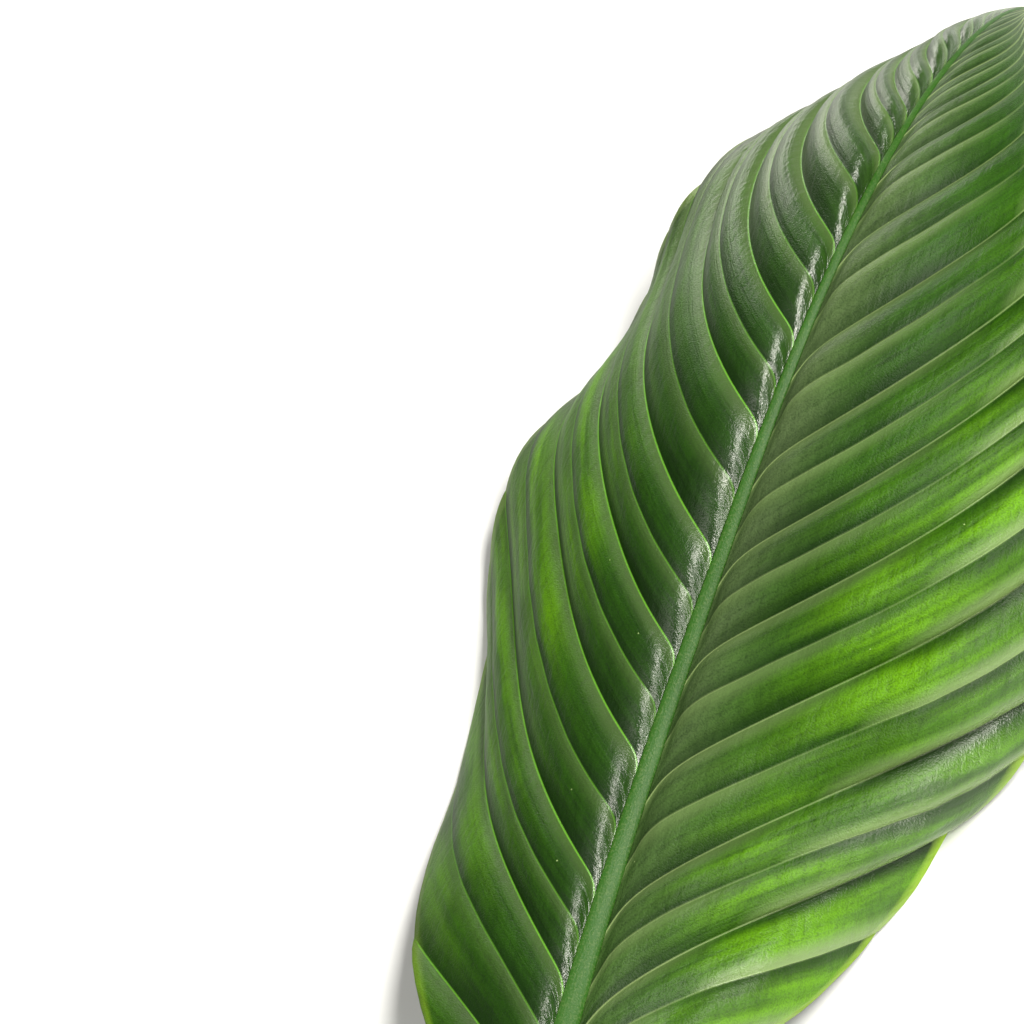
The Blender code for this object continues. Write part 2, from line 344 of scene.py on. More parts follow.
def pleats(settings, spacing, panel, gap, v, inner, shoulder_width):
    """Height of the sheet over its veins: a swelling between two main veins, folded slightly
    along the lesser vein that runs midway, and drawn down to the midrib at gap 0.

    Where inner is 1 each swelling leans towards the tip, so it drops steeply to the next vein, and
    where inner is below 0 it leans the other way.
    """
    phase = panel % 1
    number = np.floor(panel)
    share, per_metre, per_pleat = LEAN_WAVER
    lean = 1 + (settings.pleat_lean - 1) * inner
    lean = lean + share * np.sin(gap * per_metre + number * per_pleat)
    swelling = np.sin(np.pi * phase ** lean) ** PLEAT_ROUNDNESS * (1 - settings.lesser_fold)
    lesser = np.sin(np.pi * ((2 * phase) % 1) ** lean) ** PLEAT_ROUNDNESS
    swelling = swelling + lesser * settings.lesser_fold
    uneven = 1
    for share, per_pleat, start in HEIGHT_STEPS:
        uneven = uneven + share * np.sin(number * per_pleat + start)
    for share, per_metre, per_pleat in HEIGHT_WAVERS:
        waver = np.sin(gap * per_metre + number * per_pleat) * ease(gap / WAVERS_FULL_GAP)
        uneven = uneven * (1 + share * waver)
    # Where they lean the other way, the swellings are higher
    uneven = uneven * (1 + 0.7 * ease(-inner / 0.6))
    # They rise over a shoulder beside the midrib and are half as high at the margin
    shoulder = 1 - np.exp(-(gap / shoulder_width) ** 1.5)
    return settings.pleat_height * uneven * spacing * swelling * shoulder * (1 - 0.5 * v**4)


# Soft colour zones, listed: half, station, distance from the midrib or, below 0, from the
# margin, reach along and across, all in mm, and strength
# Glow zones: painted light shining through the thinner parts of the blade, partly also their
# yellower colour
PAINTED_GLOW_ZONES = (
    (1, 262, 80, 40, 26, 1.00),
    (1, 205, 62, 40, 26, 0.95),
    (1, 120, 45, 45, 22, 0.90),
    (1, 150, 95, 60, 18, 0.70),
    (1, 90, -8, 90, 14, 1.00),
    (1, 340, 65, 40, 22, 0.30),
    (-1, 250, 92, 120, 32, 0.95),
    (-1, 200, 50, 60, 12, 0.55),
    (-1, 120, 60, 60, 30, 0.40),
)
# Dull zones: a painted grey sheen beside the midrib and on the upper left ridges
GREY_SHEEN_ZONES = (
    (1, 270, 5, 150, 16, 0.75),
    (1, 80, 5, 90, 12, 0.15),
    (-1, 420, 50, 90, 60, 0.40),
)
# Shade zones: painted shade where the left half turns away from the light, at the midrib and the
# margin, and darker patches on the right half
SHADE_ZONES = (
    (1, 300, 78, 22, 26, 0.35),
    (1, 225, 25, 22, 14, 0.25),
    (1, 165, 95, 20, 18, 0.25),
    (-1, 200, 12, 300, 18, 0.40),
    (-1, 300, -2, 70, 7, 0.85),
    (-1, 410, -2, 50, 6, 0.85),
)
SHEEN_ZONES = (
    (1, 175, -14, 70, 14, 0.70),
    (1, 300, -16, 60, 12, 0.40),
    (-1, 400, 40, 90, 50, 0.45),
)


def colour_zones(side, s, gap, width):
    """How strong each zone is at points of one half: painted light, painted sheen, painted shade
    and gloss.
    """
    found = {}
    tables = {"painted_glow": PAINTED_GLOW_ZONES, "dull": GREY_SHEEN_ZONES, "shade": SHADE_ZONES, "sheen": SHEEN_ZONES}
    for name, zones in tables.items():
        total = np.zeros_like(s)
        for half, station, out, reach, breadth, strength in zones:
            if half == side:
                beside = gap * 1000 - out if out > 0 else (width - gap) * 1000 + out
                far = ((s * 1000 - station) / reach) ** 2 + (beside / breadth) ** 2
                total = 1 - (1 - total) * (1 - strength * np.exp(-far))
        found[name] = total
    return found


def blade_sheet(settings, frames, side):
    """Upper face of one half as a grid of points, with what its materials need at each point."""
    if side > 0:
        rise, fall, bend, wave = RIGHT_RISE, RIGHT_FALL, RIGHT_BEND, RIGHT_WAVE
        q, panel = panel_rows(RIGHT_VEINS)
    else:
        rise, fall, bend, wave = LEFT_RISE, LEFT_FALL, LEFT_BEND, LEFT_WAVE
        q, panel = panel_rows(LEFT_VEINS)
    t = np.linspace(0, 1, COLUMNS + 1)[None, :]
    v = COLUMN_EVENNESS * t + (1 - COLUMN_EVENNESS) * t * t
    s = vein_station(q, v)
    gap = v * half_width(s)
    hook, reach = settings.right_hook if side > 0 else settings.left_hook
    shoulder = settings.shoulder_widths[0 if side > 0 else 1]
    hook = hook * np.exp(-gap / reach) * ease(q / HOOK_FULL)
    s = np.maximum(s - hook * ease((BLADE_LENGTH - q) / HOOK_FADE), 0)
    width = half_width(s)
    gap = v * width
    out, high, margin_angle = section(s, v * np.ones_like(s), rise, fall, bend)
    lift = wave[0] * np.cos(2 * np.pi * (s - wave[2]) / wave[1]) * v**3
    lift = lift * np.minimum(1, width / WAVE_FULL_WIDTH)
    out = rib_half_width(s) * SHEET_UNDER_RIB + width * out - lift * np.sin(margin_angle)
    high = width * high + lift * np.cos(margin_angle)
    point, across, up = read_frames(frames, s)
    sheet = point + side * across * out[..., None] + up * high[..., None]
    normal = sheet_normals(sheet, up, side, ease(gap / RIB_FILLET))
    spacing = row_spacing(sheet, panel * np.ones_like(s))
    # The right half's pleats lean back beyond its middle, the left half's lean less outwards
    inner = 1 - 1.6 * ease((v - 0.22) / 0.5) * (side > 0) - 0.4 * ease(v) * (side < 0)
    inner = inner * np.ones_like(s)
    height = pleats(settings, spacing, panel, gap, v, inner, shoulder)
    growth = LEFT_RELIEF_GROWTH * ease((s - LEFT_RELIEF_FROM) / LEFT_RELIEF_OVER)
    height = height * (RIGHT_RELIEF if side > 0 else 1 + growth) + SHEET_THICKNESS / 2
    steps = np.linalg.norm(np.diff(sheet, axis=1), axis=2)
    run = np.concatenate([np.zeros((len(q), 1)), np.cumsum(steps, 1)], 1)
    zones = colour_zones(side, s, gap, width)
    narrowing = 1 - ease((s - POLISHED_WIDENS_FROM) / POLISHED_WIDENS_OVER)
    polished = POLISHED_STRIP - POLISHED_NARROWING * narrowing
    zones["sheen"] = np.maximum(zones["sheen"], np.exp(-(gap / polished) ** 2) * (side < 0))
    margin = 1 - ease((width - gap - MARGIN_STRIP) / MARGIN_FADE)
    return {
        **zones,
        "points": lay_down(sheet + normal * height[..., None], settings.sheet_thickness),
        "panel": panel * np.ones_like(s),
        "run": run,
        "spacing": spacing,
        "margin": margin * (1 if side > 0 else 0.3),
        "inner": inner,
        # Painted grey sheen on the ridges beside the veins: strong on the right half and towards
        # the left half's tip
        "ridges": 0 * s + (0.85 if side > 0 else 0.35 + 0.5 * ease((s - 0.30) / 0.10)),
        # The left half's veins fade towards the tip, the right half's away from the midrib
        "line": (0.85 - 0.25 * v) * (1 - 0.55 * ease((s - 0.28) / 0.10)) * (side < 0),
        "pale_line": (0.14 + 0.36 * np.exp(-gap / 0.03)) * (side > 0),
    }


def only(obj):
    """Make one object the selected and active one."""
    bpy.ops.object.select_all(action="DESELECT")
    obj.select_set(True)
    bpy.context.view_layer.objects.active = obj


def flat_grid(name, rows, columns):
    """Add a grid primitive and return it with its vertex numbers in rows and columns."""
    bpy.ops.object.select_all(action="DESELECT")
    bpy.ops.mesh.primitive_grid_add(x_subdivisions=columns, y_subdivisions=rows, size=1)
    grid = bpy.context.active_object
    grid.name = name
    grid.data.name = name
    place = np.empty(len(grid.data.vertices) * 3)
    grid.data.vertices.foreach_get("co", place)
    place = place.reshape(-1, 3)
    order = np.lexsort((place[:, 0], np.round(place[:, 1] * rows * 4)))
    if len(order) != (rows + 1) * (columns + 1):
        raise RuntimeError("the grid has an unexpected number of points")
    return grid, order


def set_points(grid, order, points):
    """Move a grid's vertices to their places."""
    place = np.empty((len(order), 3))
    place[order] = points.reshape(-1, 3)
    grid.data.vertices.foreach_set("co", place.ravel())
    grid.data.update()


def set_attributes(grid, order, sheet):
    """Keep what the materials read: a vein map as UVs, and the masks on the points."""
    for name in MASKS:
        values = np.empty(len(order))
        values[order] = sheet[name].ravel()
        grid.data.attributes.new(name, "FLOAT", "POINT").data.foreach_set("value", values)
    veins = np.empty((len(order), 2))
    veins[order] = np.stack([sheet["panel"].ravel(), sheet["run"].ravel()], 1)
    corners = np.empty(len(grid.data.loops), int)
    grid.data.loops.foreach_get("vertex_index", corners)
    layer = grid.data.uv_layers[0]
    layer.name = "veins"
    layer.uv.foreach_set("vector", veins[corners].ravel())


def face_up(grid, points):
    """Turn a half's faces so that they look up from the sheet."""
    a = points[1:, :-1] - points[:-1, :-1]
    b = points[:-1, 1:] - points[:-1, :-1]
    if np.cross(b, a)[..., 2].sum() < 0:
        grid.data.flip_normals()


def weld(grid, materials):
    """Give a grid its materials and merge the points that meet, and stay in edit mode."""
    for material in materials:
        grid.data.materials.append(material)
    only(grid)
    bpy.ops.object.mode_set(mode="EDIT")
    bpy.ops.mesh.select_all(action="SELECT")
    bpy.ops.mesh.remove_doubles(threshold=MERGE_DISTANCE)


def add_half(settings, frames, side, materials):
    """Add one half of the blade as a closed sheet of even thickness."""
    sheet = blade_sheet(settings, frames, side)
    rows, columns = np.array(sheet["points"].shape[:2]) - 1
    grid, order = flat_grid("right_half" if side > 0 else "left_half", rows, columns)
    set_points(grid, order, sheet["points"])
    set_attributes(grid, order, sheet)
    face_up(grid, sheet["points"])
    weld(grid, materials)
    bpy.ops.object.mode_set(mode="OBJECT")
    wall = grid.modifiers.new("thickness", "SOLIDIFY")
    wall.thickness = settings.sheet_thickness
    wall.offset = -1
    wall.material_offset = 1
    wall.material_offset_rim = 2
    bpy.ops.object.modifier_apply(modifier=wall.name)
    return grid


def rib_outline(s, angle):
    """Outline of the midrib, and of the round stalk below the blade, as out and high."""
    r = rib_half_width(s)
    half = SHEET_THICKNESS / 2
    above = np.sin(angle) > 0
    # At its sides the midrib is as thick as the sheet, and from there it bulges up and down
    high = half * np.clip(np.sin(angle) / 0.2, -1, 1)
    high = high + np.sin(angle) * np.where(above, RIB_CROWN * r, keel_depth(s))
    out = np.cos(angle) * r
    radius = STALK_RADIUS + STALK_JOINT_SWELL * lobe(-s / STALK_JOINT_LENGTH, 1, 2)
    blend = ease(-s / STALK_BLEND_LENGTH)
    out = out * (1 - blend) + np.cos(angle) * radius * blend
    centre = -KEEL_DEPTH_BASE / 2
    high = high * (1 - blend) + (centre + np.sin(angle) * radius) * blend
    return out, high


def add_rib(frames, materials):
    """Add the midrib and the stalk as one closed tube with a cut end."""
    s = np.linspace(-STALK_LENGTH, BLADE_LENGTH, RIB_ROWS + 1)[:, None]
    angle = np.linspace(0, 2 * np.pi, AROUND_RIB + 1)[None, :] - np.pi / 2
    out, high = rib_outline(s, angle)
    point, across, up = read_frames(frames, s[:, 0])
    points = point[:, None] + across[:, None] * out[..., None] + up[:, None] * high[..., None]
    points = lay_down(points)
    grid, order = flat_grid("midrib", RIB_ROWS, AROUND_RIB)
    set_points(grid, order, points)
    # The midrib's own material reads only the map round and along it
    sheet = {name: np.zeros_like(out) for name in MASKS}
    sheet["panel"] = np.ones_like(out) * (angle + np.pi / 2) / (2 * np.pi)
    sheet["run"] = np.ones_like(out) * (s + STALK_LENGTH)
    set_attributes(grid, order, sheet)
    weld(grid, materials)
    bpy.ops.mesh.select_all(action="DESELECT")
    bpy.ops.mesh.select_non_manifold()
    bpy.ops.mesh.fill_holes(sides=0)
    bpy.ops.mesh.select_all(action="SELECT")
    bpy.ops.mesh.normals_make_consistent(inside=False)
    bpy.ops.mesh.select_all(action="DESELECT")
    bpy.ops.mesh.select_mode(type="FACE")
    bpy.ops.mesh.select_face_by_sides(number=4, type="GREATER")
    bpy.ops.mesh.mark_sharp()
    grid.active_material_index = 1
    bpy.ops.object.material_slot_assign()
    bpy.ops.mesh.select_mode(type="VERT")
    bpy.ops.object.mode_set(mode="OBJECT")
    return grid


def wire(tree, kind, inputs=None, output=0, **settings):
    """Add a node, set it up, link or set its inputs, and return one of its outputs."""
    made = tree.nodes.new(kind)
    for name, value in settings.items():
        setattr(made, name, value)
    for socket, value in (inputs or {}).items():
        if isinstance(value, bpy.types.NodeSocket):
            tree.links.new(value, made.inputs[socket])
        else:
            made.inputs[socket].default_value = value
    return made.outputs[output]


def new_material(name):
    """Add a material and return it with its tree and its surface shader."""
    material = bpy.data.materials.new(name)
    material.use_nodes = True
    tree = material.node_tree
    return material, tree, tree.nodes["Principled BSDF"]


def past_veins(tree, panel):
    """How far past the nearest main and the nearest lesser vein, towards the tip.

    Both are shares of a panel and run from -0.5 to 0.5.
    """
    past = wire(tree, "ShaderNodeMath", {0: panel, 1: 0.5}, operation="ADD")
    past = wire(tree, "ShaderNodeMath", {0: past}, operation="FRACT")
    past = wire(tree, "ShaderNodeMath", {0: past, 1: 0.5}, operation="SUBTRACT")
    past_lesser = wire(tree, "ShaderNodeMath", {0: panel}, operation="FRACT")
    past_lesser = wire(tree, "ShaderNodeMath", {0: past_lesser, 1: 0.5}, operation="SUBTRACT")
    return past, past_lesser


def drawn_out(tree, panel, run, across, along_vein, detail):
    """Noise that follows the veins, with so many features across a panel and along a metre."""
    across = wire(tree, "ShaderNodeMath", {0: panel, 1: across}, operation="MULTIPLY")
    along_vein = wire(tree, "ShaderNodeMath", {0: run, 1: along_vein}, operation="MULTIPLY")
    place = wire(tree, "ShaderNodeCombineXYZ", {0: across, 1: along_vein})
    return wire(tree, "ShaderNodeTexNoise", {"Vector": place, "Scale": 1.0, "Detail": detail})


def skin_patterns(tree, panel, run, place):
    """Patterns of the skin. A panel is about 35 mm across at the midrib and 25 mm farther out."""
    # Streaks that run along the veins, about 1 mm across and 20 mm long
    streaks = drawn_out(tree, panel, run, 24.0, 50.0, 4.0)
    # Ripples across the veins, about 3 mm apart and 6 mm wide
    ripples = drawn_out(tree, panel, run, 5.0, 320.0, 3.0)
    # Bands along the veins, about 6 mm across and 50 mm long
    bands = drawn_out(tree, panel, run, 5.0, 20.0, 2.0)
    # Blotches about 20 mm across, and grain of the skin about 0.5 mm across
    blotches = wire(tree, "ShaderNodeTexNoise", {"Vector": place, "Scale": 50.0, "Detail": 3.0})
    grain = wire(tree, "ShaderNodeTexNoise", {"Vector": place, "Scale": 1800.0, "Detail": 2.0})
    # Minor veins, each a fine ridge that wavers a little. Real ones are about 1.5 mm apart. Here
    # seven share a panel, 3 to 5 mm apart, because finer ones don't show.
    waver = wire(tree, "ShaderNodeMath", {0: streaks, 1: 1.2}, operation="MULTIPLY")
    minor = wire(tree, "ShaderNodeMath", {0: panel, 1: 14.0, 2: waver}, operation="MULTIPLY_ADD")
    minor = wire(tree, "ShaderNodeMath", {0: minor, 1: 1.0}, operation="PINGPONG")
    return {"streaks": streaks, "ripples": ripples, "bands": bands, "blotches": blotches,
            "grain": grain, "minor": minor}


def skin_colour(tree, settings, masks, patterns, panel):
    """Greens of the skin: streaks and blotches, the painted light, sheen and shade of the soft
    zones over them, and painted shade in the pits and grooves.
    """
    tone = wire(tree, "ShaderNodeMix", {0: 0.45, 2: patterns["streaks"], 3: patterns["blotches"]})
    tone = wire(tree, "ShaderNodeMapRange", {0: tone, 1: 0.35, 2: 0.65, 3: 0.0, 4: 1.0})
    # Painted light shining through the thinner parts, partly also their yellower colour, in bands
    # that lie between the veins
    bands = wire(tree, "ShaderNodeMapRange",
                 {0: patterns["bands"], 1: 0.38, 2: 0.6, 3: 0.35, 4: 1.0},
                 interpolation_type="SMOOTHSTEP")
    painted_glow = wire(tree, "ShaderNodeMath", {0: masks["painted_glow"], 1: bands}, operation="MULTIPLY")
    between = wire(tree, "ShaderNodeMath", {0: panel, 1: 0.25}, operation="PINGPONG")
    between = wire(tree, "ShaderNodeMapRange", {0: between, 1: 0.02, 2: 0.16, 3: 0.25, 4: 1.0},
                   interpolation_type="SMOOTHSTEP")
    painted_glow = wire(tree, "ShaderNodeMath", {0: painted_glow, 1: between}, operation="MULTIPLY")

    # Painted shade in the grooves between the minor veins, in the pits of the grain and in the
    # troughs of the ripples
    recess_shade = wire(tree, "ShaderNodeMapRange",
                 {0: patterns["minor"], 1: 0.0, 2: 0.35, 3: 0.16, 4: 0.0})
    pits = wire(tree, "ShaderNodeMapRange",
                {0: patterns["grain"], 1: 0.36, 2: 0.56, 3: 0.30, 4: 0.0})
    troughs = wire(tree, "ShaderNodeMapRange",
                   {0: patterns["ripples"], 1: 0.35, 2: 0.55, 3: 0.18, 4: 0.0})
    recess_shade = wire(tree, "ShaderNodeMath", {0: recess_shade, 1: pits}, operation="ADD")
    recess_shade = wire(tree, "ShaderNodeMath", {0: recess_shade, 1: troughs}, operation="ADD")

    colour = (*settings.deep_green, 1)
    # Over the skin's own greens go the painted light, the painted grey sheen and the painted shade
    for share, green in ((tone, settings.mid_green), (painted_glow, settings.bright_green),
                         (masks["dull"], settings.grey_sheen_green),
                         (masks["shade"], settings.painted_shade_green), (recess_shade, settings.painted_shade_green)):
        colour = wire(tree, "ShaderNodeMix", {0: share, 6: colour, 7: (*green, 1)}, 2,
                      data_type="RGBA")
    return colour


def fold_shades(tree, settings, masks, colour, distances):
    """Paint shade and sheen on both sides of each vein, and return the colour and how strongly the
    wax shines.

    Near the midrib there is painted shade just past each vein and a paler painted sheen just
    before it. Towards the right margin it is the other way round, with a painted sheen along the
    pale side.
    """
    outer = wire(tree, "ShaderNodeMath", {0: 0.0, 1: masks["inner"]}, operation="SUBTRACT",
                 use_clamp=True)
    outer = wire(tree, "ShaderNodeMath", {0: outer, 1: 1.6}, operation="MULTIPLY", use_clamp=True)
    inner = wire(tree, "ShaderNodeMath", {0: masks["inner"], 1: 1.0}, operation="MULTIPLY",
                 use_clamp=True)
    # The ridges mask sets how strongly a grey sheen is painted on the ridges near the midrib
    ridge_sheen = wire(tree, "ShaderNodeMath", {0: inner, 1: masks["ridges"]}, operation="MULTIPLY")
    # Painted shade past a vein is weaker where the dull mask paints a grey sheen
    fold_shade_share = wire(tree, "ShaderNodeMapRange", {0: masks["dull"], 1: 0.0, 2: 1.0, 3: 1.0, 4: 0.35})
    fold_shade_share = wire(tree, "ShaderNodeMath", {0: fold_shade_share, 1: inner}, operation="MULTIPLY")
    sheen = masks["sheen"]
    # At the main veins, then at the lesser ones: how wide, as a share of a panel, and how strong
    for distance, width, strength in zip(distances, (0.25, 0.19), (0.85, 0.72)):
        after = wire(tree, "ShaderNodeMath", {0: distance, 1: 0.0}, operation="GREATER_THAN")
        before = wire(tree, "ShaderNodeMath", {0: 1.0, 1: after}, operation="SUBTRACT")
        beyond = wire(tree, "ShaderNodeMapRange",
                      {0: distance, 1: 0.0, 2: width, 3: strength, 4: 0.0},
                      interpolation_type="SMOOTHSTEP")
        beyond = wire(tree, "ShaderNodeMath", {0: beyond, 1: after}, operation="MULTIPLY")
        short = wire(tree, "ShaderNodeMapRange",
                     {0: distance, 1: -0.21, 2: 0.0, 3: 0.0, 4: strength},
                     interpolation_type="SMOOTHSTEP")
        short = wire(tree, "ShaderNodeMath", {0: short, 1: before}, operation="MULTIPLY")
        # Painted shade: just before each vein towards the right margin, just past it near the
        # midrib
        painted_shade = wire(tree, "ShaderNodeMath", {0: short, 1: outer}, operation="MULTIPLY")
        painted_shade = wire(tree, "ShaderNodeMath", {0: beyond, 1: fold_shade_share, 2: painted_shade},
                    operation="MULTIPLY_ADD")
        # Painted grey sheen on the ridge just before each vein, near the midrib
        pale = wire(tree, "ShaderNodeMath", {0: short, 1: ridge_sheen}, operation="MULTIPLY")
        # Painted sheen on the crest just past each vein towards the right margin, where the wax
        # also shines more
        crest = wire(tree, "ShaderNodeMath", {0: beyond, 1: outer}, operation="MULTIPLY")
        sheen = wire(tree, "ShaderNodeMath", {0: crest, 1: 0.9, 2: sheen},
                     operation="MULTIPLY_ADD")
        for share, green in ((painted_shade, settings.painted_shade_green), (pale, settings.ridge_green),
                             (crest, settings.crest_sheen_green)):
            colour = wire(tree, "ShaderNodeMix", {0: share, 6: colour, 7: (*green, 1)}, 2,
                          data_type="RGBA")
    return colour, sheen


def vein_lines(tree, settings, masks, colour, distances):
    """Draw the veins, about 0.8 mm wide: green ones on the left half, pale ones on the right."""
    lines = []
    # Main veins, then lesser ones: how far from its middle a line is solid, and how strong it is
    for distance, solid, strength in zip(distances, (0.00005, 0.0001), (1.0, 0.45)):
        off = wire(tree, "ShaderNodeMath", {0: distance}, operation="ABSOLUTE")
        off = wire(tree, "ShaderNodeMath", {0: off, 1: masks["spacing"]}, operation="MULTIPLY")
        lines.append(wire(tree, "ShaderNodeMapRange",
                          {0: off, 1: solid, 2: 0.0004, 3: strength, 4: 0.0},
                          interpolation_type="SMOOTHSTEP"))
    line = wire(tree, "ShaderNodeMath", {0: lines[0], 1: lines[1]}, operation="MAXIMUM")
    for mask, green in (("line", settings.vein_green), ("pale_line", settings.flesh_green)):
        share = wire(tree, "ShaderNodeMath", {0: line, 1: masks[mask]}, operation="MULTIPLY")
        colour = wire(tree, "ShaderNodeMix", {0: share, 6: colour, 7: (*green, 1)}, 2,
                      data_type="RGBA")
    return wire(tree, "ShaderNodeMix",
                {0: masks["margin"], 6: colour, 7: (*settings.margin_green, 1)}, 2,
                data_type="RGBA")


def dust_specks(tree, settings, colour, place):
    """Strew a few pale specks of dust, about 0.5 mm across and 15 mm apart."""
    cells = wire(tree, "ShaderNodeTexVoronoi", {"Vector": place, "Scale": 130.0})
    chosen = wire(tree, "ShaderNodeMath", {0: cells.node.outputs[1], 1: 0.72},
                  operation="GREATER_THAN")
    specks = wire(tree, "ShaderNodeMapRange", {0: cells, 1: 0.018, 2: 0.040, 3: 0.7, 4: 0.0})
    specks = wire(tree, "ShaderNodeMath", {0: specks, 1: chosen}, operation="MULTIPLY")
    return wire(tree, "ShaderNodeMix", {0: specks, 6: colour, 7: (*settings.flesh_green, 1)}, 2,
                data_type="RGBA")


def waxy_face(settings):
    """Upper face: a grown leaf skin under a thin smooth wax, satin with soft sheen."""
    material, tree, shader = new_material("waxed_leaf_upper_face")
    panel = wire(tree, "ShaderNodeSeparateXYZ", {0: wire(tree, "ShaderNodeUVMap", uv_map="veins")})
    run = panel.node.outputs[1]
    place = wire(tree, "ShaderNodeTexCoord", output="Object")
    masks = {name: wire(tree, "ShaderNodeAttribute", output="Fac", attribute_name=name)
             for name in MASKS}
    distances = past_veins(tree, panel)
    patterns = skin_patterns(tree, panel, run, place)
    colour = skin_colour(tree, settings, masks, patterns, panel)
    colour, sheen = fold_shades(tree, settings, masks, colour, distances)
    colour = vein_lines(tree, settings, masks, colour, distances)
    colour = dust_specks(tree, settings, colour, place)
    tree.links.new(colour, shader.inputs["Base Color"])

    # The wax is smooth and shiny where the skin has a sheen, and worn dull elsewhere
    tree.links.new(wire(tree, "ShaderNodeMapRange", {0: sheen, 1: 0.0, 2: 1.0, 3: 0.45, 4: 0.27}),
                   shader.inputs["Roughness"])
    tree.links.new(wire(tree, "ShaderNodeMapRange", {0: sheen, 1: 0.0, 2: 1.0, 3: 0.15, 4: 1.0}),
                   shader.inputs["Specular IOR Level"])
    shader.inputs["IOR"].default_value = 1.45

    # Fine relief, each pattern's height in metres and its strength
    relief = wire(tree, "ShaderNodeBump", {"Height": patterns["minor"], "Distance": 0.00018,
                                           "Strength": 0.4})
    for name, height, strength in (("ripples", 0.0005, 0.6), ("streaks", 0.0003, 0.5),
                                   ("grain", 0.0002, 0.8)):
        relief = wire(tree, "ShaderNodeBump", {"Height": patterns[name], "Distance": height,
                                               "Strength": strength, "Normal": relief})
    tree.links.new(relief, shader.inputs["Normal"])
    return material


def matte_underside(settings):
    """Underside: the same skin without its gloss, paler, so it looks dull and greyer."""
    material, tree, shader = new_material("dull_leaf_underside")
    place = wire(tree, "ShaderNodeTexCoord", output="Object")
    # Blotches about 17 mm across
    blotches = wire(tree, "ShaderNodeTexNoise", {"Vector": place, "Scale": 60.0})
    colour = wire(tree, "ShaderNodeMix", {0: blotches, 6: (*settings.underside_green, 1),
                                          7: (*settings.mid_green, 1)}, 2, data_type="RGBA")
    tree.links.new(colour, shader.inputs["Base Color"])
    shader.inputs["Roughness"].default_value = 0.6
    return material


def margin_strip(settings):
    """Edge of the blade: a thin, pale strip."""
    material, tree, shader = new_material("pale_leaf_margin")
    place = wire(tree, "ShaderNodeTexCoord", output="Object")
    # Blotches about 5 mm across
    blotches = wire(tree, "ShaderNodeTexNoise", {"Vector": place, "Scale": 200.0})
    colour = wire(tree, "ShaderNodeMix", {0: blotches, 6: (*settings.margin_green, 1),
                                          7: (*settings.bright_green, 1)}, 2, data_type="RGBA")
    tree.links.new(colour, shader.inputs["Base Color"])
    shader.inputs["Roughness"].default_value = 0.4
    return material


def rib_skin(settings):
    """Midrib and stalk: smooth firm skin with fine fibres along it, satin."""
    material, tree, shader = new_material("fibrous_stalk_skin")
    uv = wire(tree, "ShaderNodeUVMap", uv_map="veins")
    # Fibres about 1 mm across and 17 mm long
    stretched = wire(tree, "ShaderNodeMapping", {0: uv, 3: (30.0, 60.0, 1.0)})
    fibres = wire(tree, "ShaderNodeTexNoise", {"Vector": stretched, "Scale": 1.0, "Detail": 4.0})
    place = wire(tree, "ShaderNodeTexCoord", output="Object")
    # Pores of the skin, about 0.6 mm across
    pores = wire(tree, "ShaderNodeTexNoise", {"Vector": place, "Scale": 1600.0, "Detail": 3.0})
    mottled = wire(tree, "ShaderNodeMix", {0: 0.6, 2: fibres, 3: pores})
    tone = wire(tree, "ShaderNodeMapRange", {0: mottled, 1: 0.42, 2: 0.60, 3: 0.0, 4: 1.0})
    colour = wire(tree, "ShaderNodeMix", {0: tone, 6: (*settings.rib_green, 1),
                                          7: (*settings.mid_green, 1)}, 2, data_type="RGBA")
    pale = wire(tree, "ShaderNodeMapRange", {0: pores, 1: 0.50, 2: 0.66, 3: 0.0, 4: 0.3})
    colour = wire(tree, "ShaderNodeMix", {0: pale, 6: colour, 7: (*settings.ridge_green, 1)}, 2,
                  data_type="RGBA")
    tree.links.new(colour, shader.inputs["Base Color"])
    tree.links.new(wire(tree, "ShaderNodeBump", {"Height": mottled, "Distance": 0.0004,
                                                 "Strength": 0.5}), shader.inputs["Normal"])
    shader.inputs["Roughness"].default_value = 0.5
    shader.inputs["Specular IOR Level"].default_value = 0.3
    return material


def cut_flesh(settings):
    """Cut end of the stalk: moist pale flesh with darker strands, about 1 mm apart, end on."""
    material, tree, shader = new_material("cut_stalk_flesh")
    place = wire(tree, "ShaderNodeTexCoord", output="Object")
    strands = wire(tree, "ShaderNodeTexVoronoi", {"Vector": place, "Scale": 1000.0})
    tone = wire(tree, "ShaderNodeMapRange", {0: strands, 1: 0.2, 2: 0.35, 3: 0.0, 4: 1.0})
    colour = wire(tree, "ShaderNodeMix", {0: tone, 6: (*settings.underside_green, 1),
                                          7: (*settings.flesh_green, 1)}, 2, data_type="RGBA")
    tree.links.new(colour, shader.inputs["Base Color"])
    tree.links.new(wire(tree, "ShaderNodeBump", {"Height": tone, "Distance": 0.0001,
                                                 "Strength": 0.5}), shader.inputs["Normal"])
    shader.inputs["Roughness"].default_value = 0.4
    return material


